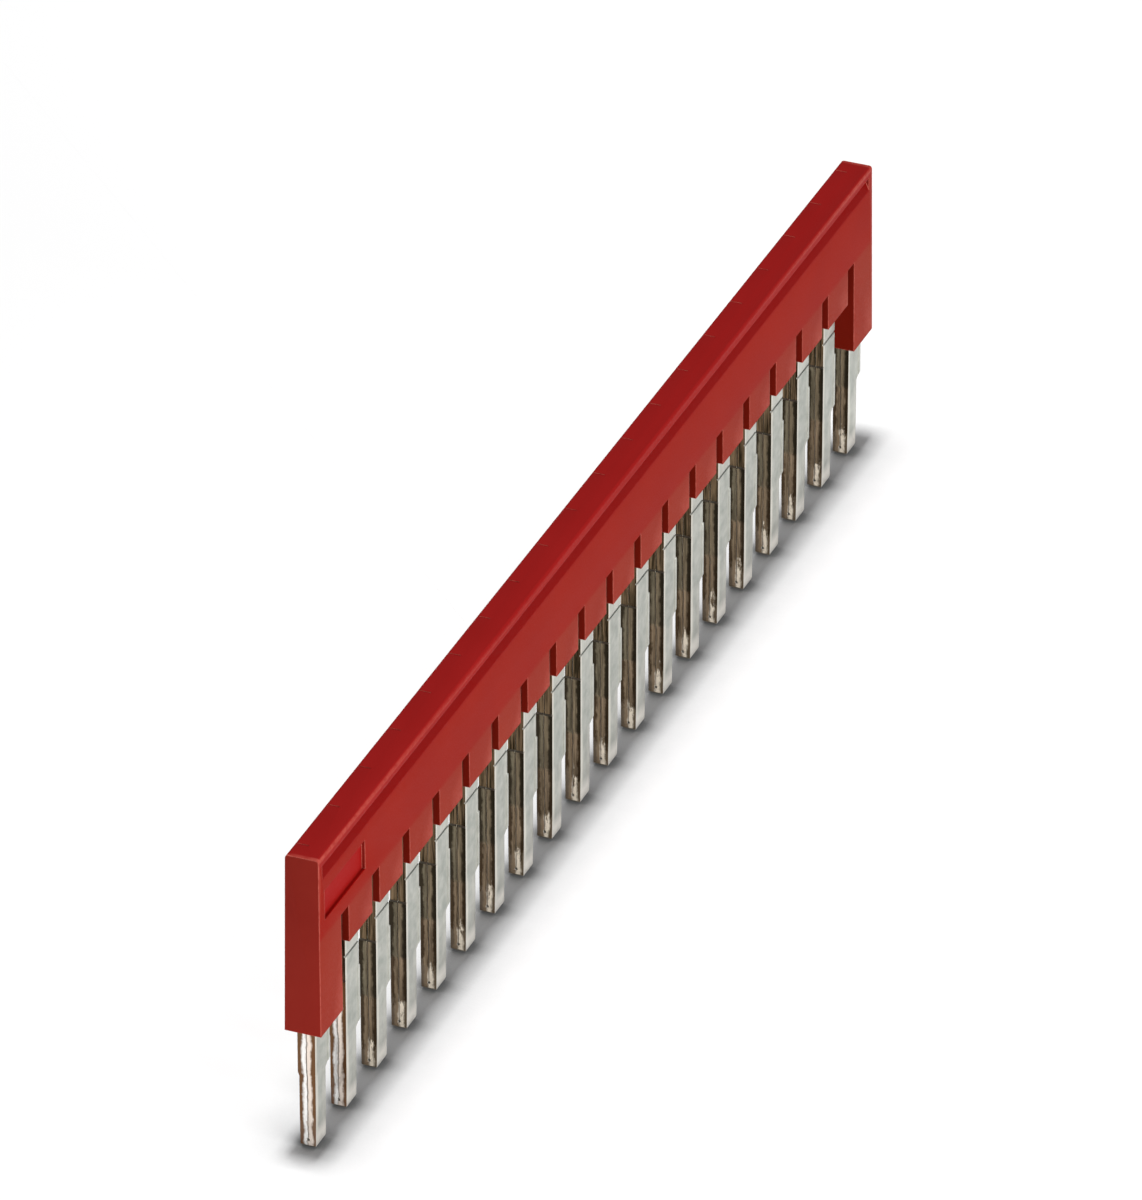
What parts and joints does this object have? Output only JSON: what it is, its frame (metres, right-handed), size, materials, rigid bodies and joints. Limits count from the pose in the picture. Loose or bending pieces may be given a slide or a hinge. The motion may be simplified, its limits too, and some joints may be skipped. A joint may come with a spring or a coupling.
{
  "type": "terminal block jumper",
  "caption": "Plug-in comb jumper: a red moulded insulating cap over a folded tin-plated metal comb whose pins bridge a row of rail terminals.",
  "frame": {"origin": "on the plane of the pin tips, in the middle of the row and of the thickness", "axes": "+X along the row of pins, -Y out of the side with the marking recess, +Z from the pin tips to the top of the cap"},
  "size_m": [0.1024, 0.0026, 0.0227],
  "materials": {
    "cap_plastic": "satin moulded plastic",
    "tin_plate": "bright tin plate over copper alloy, darker on the cut edges"
  },
  "bodies": {
    "root": {"insulating_cap": "cap_plastic", "contact_comb": "tin_plate"}
  },
  "joints": []
}
